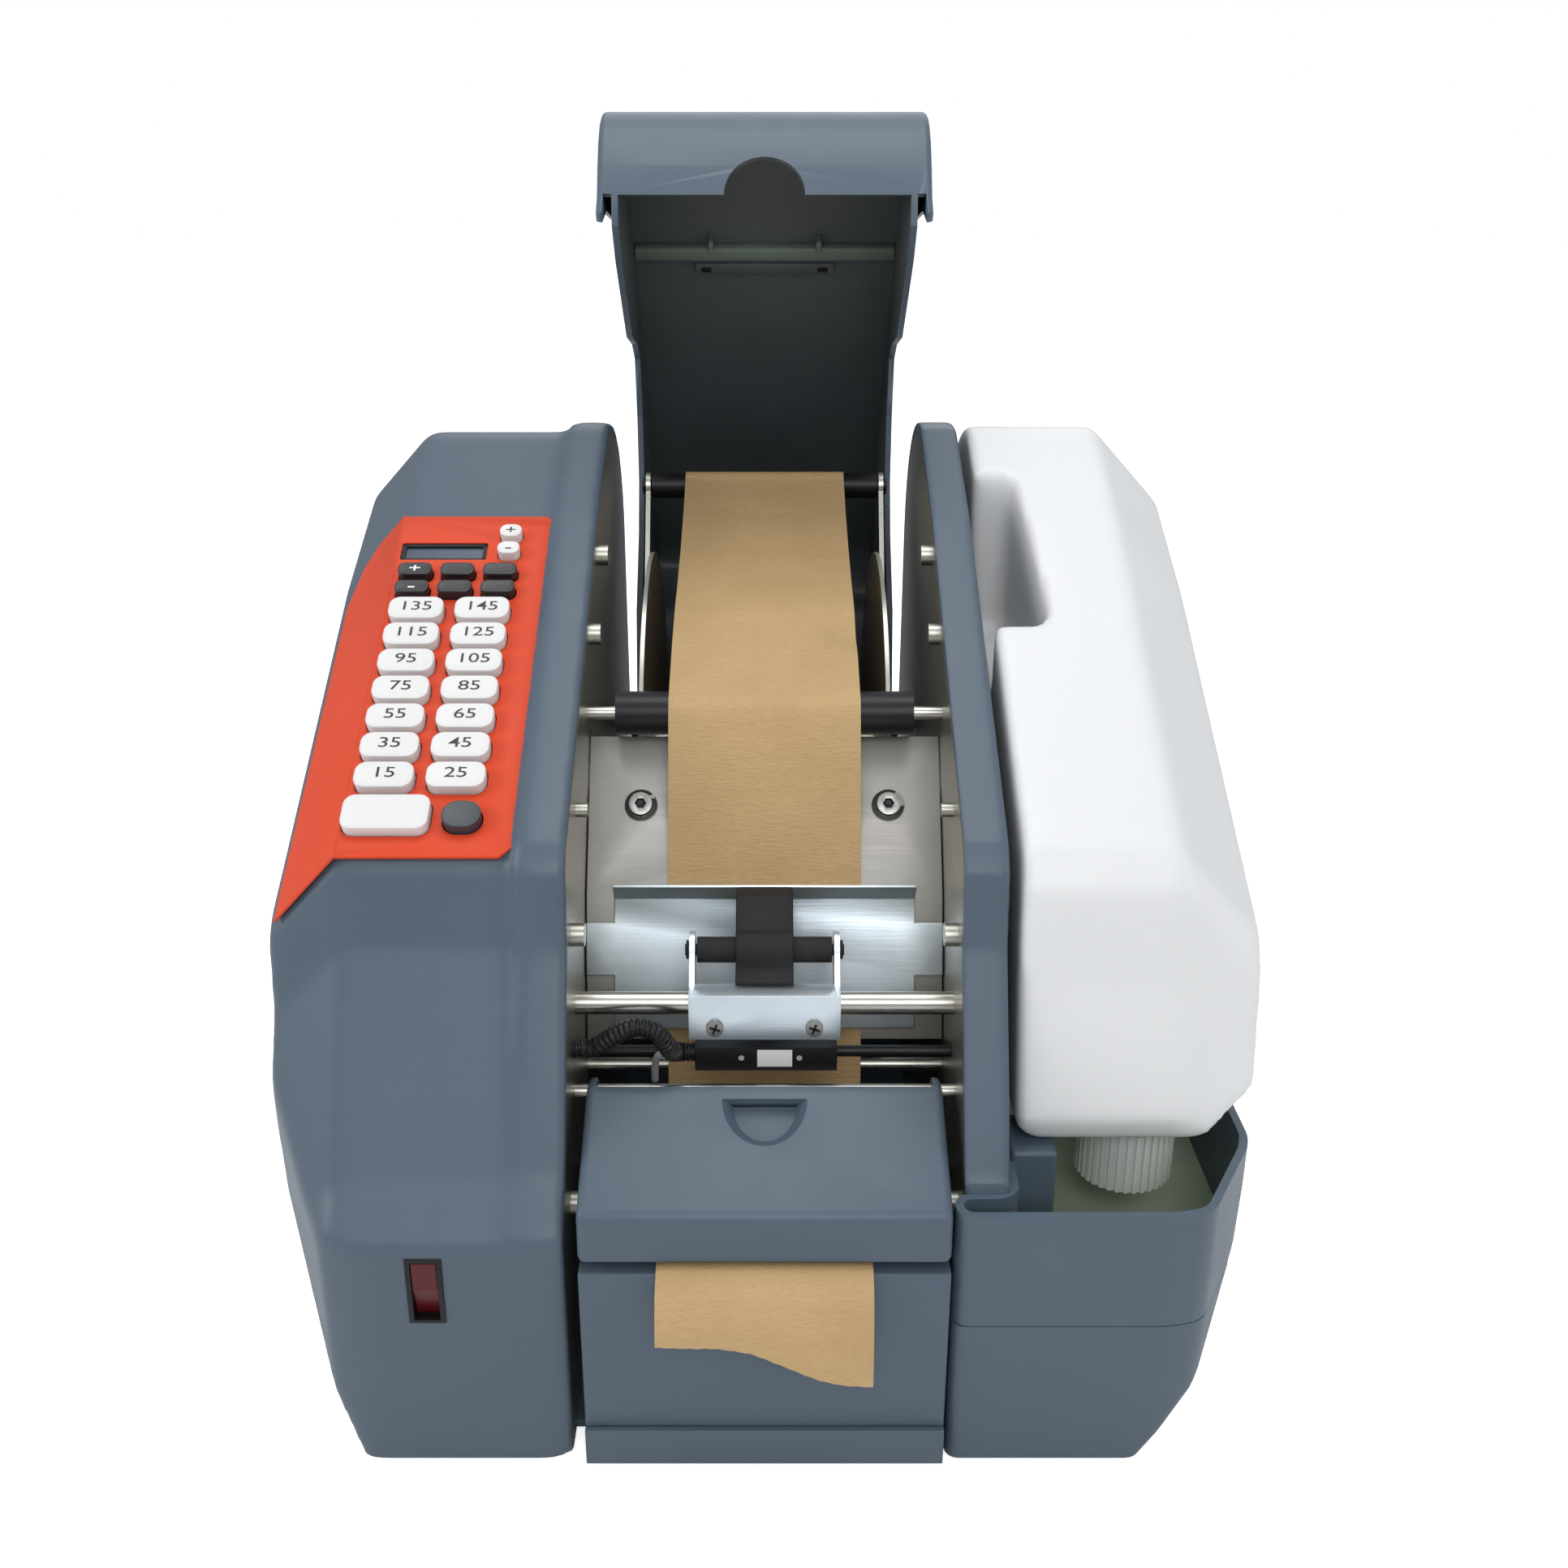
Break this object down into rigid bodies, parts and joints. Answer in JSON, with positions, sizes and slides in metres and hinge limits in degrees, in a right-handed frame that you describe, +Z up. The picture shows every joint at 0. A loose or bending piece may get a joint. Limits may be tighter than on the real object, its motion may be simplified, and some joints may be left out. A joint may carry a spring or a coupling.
{
  "type": "gummed tape dispenser",
  "caption": "Counter-top dispenser for water-activated kraft tape: keypad side cover, open hinged lid, paper roll and rollers, brush cover, water tank and lift-out bottle.",
  "frame": {"origin": "middle of the box of the open machine, at the table", "axes": "+X to the machine's right as seen from the front, +Y to the back, +Z up"},
  "size_m": [0.332, 0.4381, 0.427],
  "materials": {
    "slate_plastic": "fine satin",
    "orange_panel": "satin",
    "stainless": "brushed",
    "zinc_plate": "bright zinc",
    "black_plastic": "satin",
    "black_rubber": "matt",
    "white_key": "satin",
    "grey_key": "satin",
    "bottle_white": "milky satin",
    "red_rocker": "gloss, translucent",
    "kraft_paper": "matt paper",
    "display_glass": "gloss",
    "bristle": "matt"
  },
  "bodies": {
    "base": {"base_tray": "slate_plastic", "rubber_feet": "black_rubber", "left_side_plate": "stainless", "right_side_plate": "stainless", "left_rim_cover": "slate_plastic", "right_rim_cover": "slate_plastic", "left_cover": "slate_plastic", "keypad_panel": "orange_panel", "display_window": "display_glass", "rocker_frame": "black_plastic", "front_panel": "slate_plastic", "wetting_brush": "bristle", "water_tank": "slate_plastic", "tank_base": "slate_plastic", "feed_plate": "stainless", "pressure_plate": "zinc_plate", "cross_rods": "stainless", "paper_web": "kraft_paper", "feed_motor": "zinc_plate", "photo_sensor": "black_plastic", "sensor_conduit": "black_plastic"},
    "rocker": {"rocker": "red_rocker"},
    "brush_cover": {"brush_cover": "slate_plastic"},
    "bottle": {"water_bottle": "bottle_white"},
    "cap": {"bottle_cap": "bottle_white"},
    "press_arm": {"pressure_bracket": "zinc_plate", "rubber_strap": "black_rubber"},
    "pressure_roller": {"pressure_roller": "black_rubber"},
    "guide_roller": {"guide_roller": "black_plastic"},
    "tension_arms": {"tension_arms": "stainless"},
    "top_roller": {"top_roller": "black_plastic"},
    "paper_roll": {"tape_roll": "kraft_paper", "roll_discs": "stainless"},
    "feed_roller": {"feed_roller": "black_rubber"},
    "cutter": {"cutter_blade": "stainless"},
    "lid": {"top_lid": "slate_plastic"},
    "key_15": {"key_15": "white_key"},
    "key_25": {"key_25": "white_key"},
    "key_35": {"key_35": "white_key"},
    "key_45": {"key_45": "white_key"},
    "key_55": {"key_55": "white_key"},
    "key_65": {"key_65": "white_key"},
    "key_75": {"key_75": "white_key"},
    "key_85": {"key_85": "white_key"},
    "key_95": {"key_95": "white_key"},
    "key_105": {"key_105": "white_key"},
    "key_115": {"key_115": "white_key"},
    "key_125": {"key_125": "white_key"},
    "key_135": {"key_135": "white_key"},
    "key_145": {"key_145": "white_key"},
    "start_key": {"start_key": "white_key"},
    "feed_key": {"feed_key": "grey_key"},
    "plus_key": {"plus_key": "black_plastic"},
    "minus_key": {"minus_key": "black_plastic"},
    "set_key": {"set_key": "black_plastic"},
    "enter_key": {"enter_key": "black_plastic"},
    "double_key": {"double_key": "black_plastic"},
    "auto_key": {"auto_key": "black_plastic"},
    "volume_up_key": {"volume_up_key": "white_key"},
    "volume_down_key": {"volume_down_key": "white_key"}
  },
  "joints": [
    {"name": "lid_hinge", "type": "hinge", "parent": "base", "child": "lid", "pos_m": [0, 0.084, 0.165], "axis": [1, 0, 0], "range_deg": [0, 80]},
    {"name": "brush_cover_hinge", "type": "hinge", "parent": "base", "child": "brush_cover", "pos_m": [0, -0.151, 0.114], "axis": [1, 0, 0], "range_deg": [-60, 0]},
    {"name": "rocker_tilt", "type": "hinge", "parent": "base", "child": "rocker", "pos_m": [0, -0.197, 0.0715], "axis": [1, 0, 0], "range_deg": [-16, 0]},
    {"name": "bottle_lift", "type": "slide", "parent": "base", "child": "bottle", "axis": [0, 0, 1], "range_m": [0, 0.06]},
    {"name": "cap_turn", "type": "hinge", "parent": "bottle", "child": "cap", "pos_m": [0.1275, -0.143, 0.092], "axis": [0, 0, 1], "range_deg": [0, 90]},
    {"name": "press_arm_swing", "type": "hinge", "parent": "base", "child": "press_arm", "pos_m": [0, -0.136, 0.14], "axis": [1, 0, 0], "range_deg": [0, 8], "stiffness_Nm_per_rad": 0.3, "springref_deg": -14.32},
    {"name": "pressure_roller_spin", "type": "hinge", "parent": "press_arm", "child": "pressure_roller", "pos_m": [0, -0.127, 0.156], "axis": [1, 0, 0], "continuous": true},
    {"name": "tension_arm_swing", "type": "hinge", "parent": "base", "child": "tension_arms", "pos_m": [0, 0.029, 0.168], "axis": [1, 0, 0], "range_deg": [-3, 4], "stiffness_Nm_per_rad": 3, "springref_deg": 0.69, "deforming": ["paper_web"]},
    {"name": "paper_roll_spin", "type": "hinge", "parent": "base", "child": "paper_roll", "pos_m": [0, 0.029, 0.168], "axis": [1, 0, 0], "continuous": true},
    {"name": "guide_roller_spin", "type": "hinge", "parent": "base", "child": "guide_roller", "pos_m": [0, -0.064, 0.221], "axis": [1, 0, 0], "continuous": true},
    {"name": "top_roller_spin", "type": "hinge", "parent": "tension_arms", "child": "top_roller", "pos_m": [0, 0.093, 0.273], "axis": [1, 0, 0], "continuous": true},
    {"name": "feed_roller_spin", "type": "hinge", "parent": "base", "child": "feed_roller", "pos_m": [0, -0.137, 0.074], "axis": [1, 0, 0], "continuous": true},
    {"name": "cutter_slide", "type": "slide", "parent": "base", "child": "cutter", "axis": [0, 0, 1], "range_m": [0, 0.0065]},
    {"name": "press_key_15", "type": "slide", "parent": "base", "child": "key_15", "axis": [0, 0.4787, -0.878], "range_m": [0, 0.0012], "stiffness_N_per_m": 250, "springref_m": -0.001},
    {"name": "press_key_25", "type": "slide", "parent": "base", "child": "key_25", "axis": [0, 0.4787, -0.878], "range_m": [0, 0.0012], "stiffness_N_per_m": 250, "springref_m": -0.001},
    {"name": "press_key_35", "type": "slide", "parent": "base", "child": "key_35", "axis": [0, 0.4787, -0.878], "range_m": [0, 0.0012], "stiffness_N_per_m": 250, "springref_m": -0.001},
    {"name": "press_key_45", "type": "slide", "parent": "base", "child": "key_45", "axis": [0, 0.4787, -0.878], "range_m": [0, 0.0012], "stiffness_N_per_m": 250, "springref_m": -0.001},
    {"name": "press_key_55", "type": "slide", "parent": "base", "child": "key_55", "axis": [0, 0.4787, -0.878], "range_m": [0, 0.0012], "stiffness_N_per_m": 250, "springref_m": -0.001},
    {"name": "press_key_65", "type": "slide", "parent": "base", "child": "key_65", "axis": [0, 0.4787, -0.878], "range_m": [0, 0.0012], "stiffness_N_per_m": 250, "springref_m": -0.001},
    {"name": "press_key_75", "type": "slide", "parent": "base", "child": "key_75", "axis": [0, 0.4787, -0.878], "range_m": [0, 0.0012], "stiffness_N_per_m": 250, "springref_m": -0.001},
    {"name": "press_key_85", "type": "slide", "parent": "base", "child": "key_85", "axis": [0, 0.4787, -0.878], "range_m": [0, 0.0012], "stiffness_N_per_m": 250, "springref_m": -0.001},
    {"name": "press_key_95", "type": "slide", "parent": "base", "child": "key_95", "axis": [0, 0.4787, -0.878], "range_m": [0, 0.0012], "stiffness_N_per_m": 250, "springref_m": -0.001},
    {"name": "press_key_105", "type": "slide", "parent": "base", "child": "key_105", "axis": [0, 0.4787, -0.878], "range_m": [0, 0.0012], "stiffness_N_per_m": 250, "springref_m": -0.001},
    {"name": "press_key_115", "type": "slide", "parent": "base", "child": "key_115", "axis": [0, 0.4787, -0.878], "range_m": [0, 0.0012], "stiffness_N_per_m": 250, "springref_m": -0.001},
    {"name": "press_key_125", "type": "slide", "parent": "base", "child": "key_125", "axis": [0, 0.4787, -0.878], "range_m": [0, 0.0012], "stiffness_N_per_m": 250, "springref_m": -0.001},
    {"name": "press_key_135", "type": "slide", "parent": "base", "child": "key_135", "axis": [0, 0.4787, -0.878], "range_m": [0, 0.0012], "stiffness_N_per_m": 250, "springref_m": -0.001},
    {"name": "press_key_145", "type": "slide", "parent": "base", "child": "key_145", "axis": [0, 0.4787, -0.878], "range_m": [0, 0.0012], "stiffness_N_per_m": 250, "springref_m": -0.001},
    {"name": "press_start_key", "type": "slide", "parent": "base", "child": "start_key", "axis": [0, 0.4787, -0.878], "range_m": [0, 0.0012], "stiffness_N_per_m": 250, "springref_m": -0.001},
    {"name": "press_feed_key", "type": "slide", "parent": "base", "child": "feed_key", "axis": [0, 0.4787, -0.878], "range_m": [0, 0.0012], "stiffness_N_per_m": 250, "springref_m": -0.001},
    {"name": "press_plus_key", "type": "slide", "parent": "base", "child": "plus_key", "axis": [0, 0.4787, -0.878], "range_m": [0, 0.0012], "stiffness_N_per_m": 250, "springref_m": -0.001},
    {"name": "press_minus_key", "type": "slide", "parent": "base", "child": "minus_key", "axis": [0, 0.4787, -0.878], "range_m": [0, 0.0012], "stiffness_N_per_m": 250, "springref_m": -0.001},
    {"name": "press_set_key", "type": "slide", "parent": "base", "child": "set_key", "axis": [0, 0.4787, -0.878], "range_m": [0, 0.0012], "stiffness_N_per_m": 250, "springref_m": -0.001},
    {"name": "press_enter_key", "type": "slide", "parent": "base", "child": "enter_key", "axis": [0, 0.4787, -0.878], "range_m": [0, 0.0012], "stiffness_N_per_m": 250, "springref_m": -0.001},
    {"name": "press_double_key", "type": "slide", "parent": "base", "child": "double_key", "axis": [0, 0.4787, -0.878], "range_m": [0, 0.0012], "stiffness_N_per_m": 250, "springref_m": -0.001},
    {"name": "press_auto_key", "type": "slide", "parent": "base", "child": "auto_key", "axis": [0, 0.4787, -0.878], "range_m": [0, 0.0012], "stiffness_N_per_m": 250, "springref_m": -0.001},
    {"name": "press_volume_up_key", "type": "slide", "parent": "base", "child": "volume_up_key", "axis": [0, 0.4787, -0.878], "range_m": [0, 0.0012], "stiffness_N_per_m": 250, "springref_m": -0.001},
    {"name": "press_volume_down_key", "type": "slide", "parent": "base", "child": "volume_down_key", "axis": [0, 0.4787, -0.878], "range_m": [0, 0.0012], "stiffness_N_per_m": 250, "springref_m": -0.001}
  ],
  "couplings": [
    {"joint": "guide_roller_spin", "follows": "paper_roll_spin", "ratio": 9.375},
    {"joint": "top_roller_spin", "follows": "paper_roll_spin", "ratio": 13.636},
    {"joint": "feed_roller_spin", "follows": "paper_roll_spin", "ratio": 6.25}
  ]
}
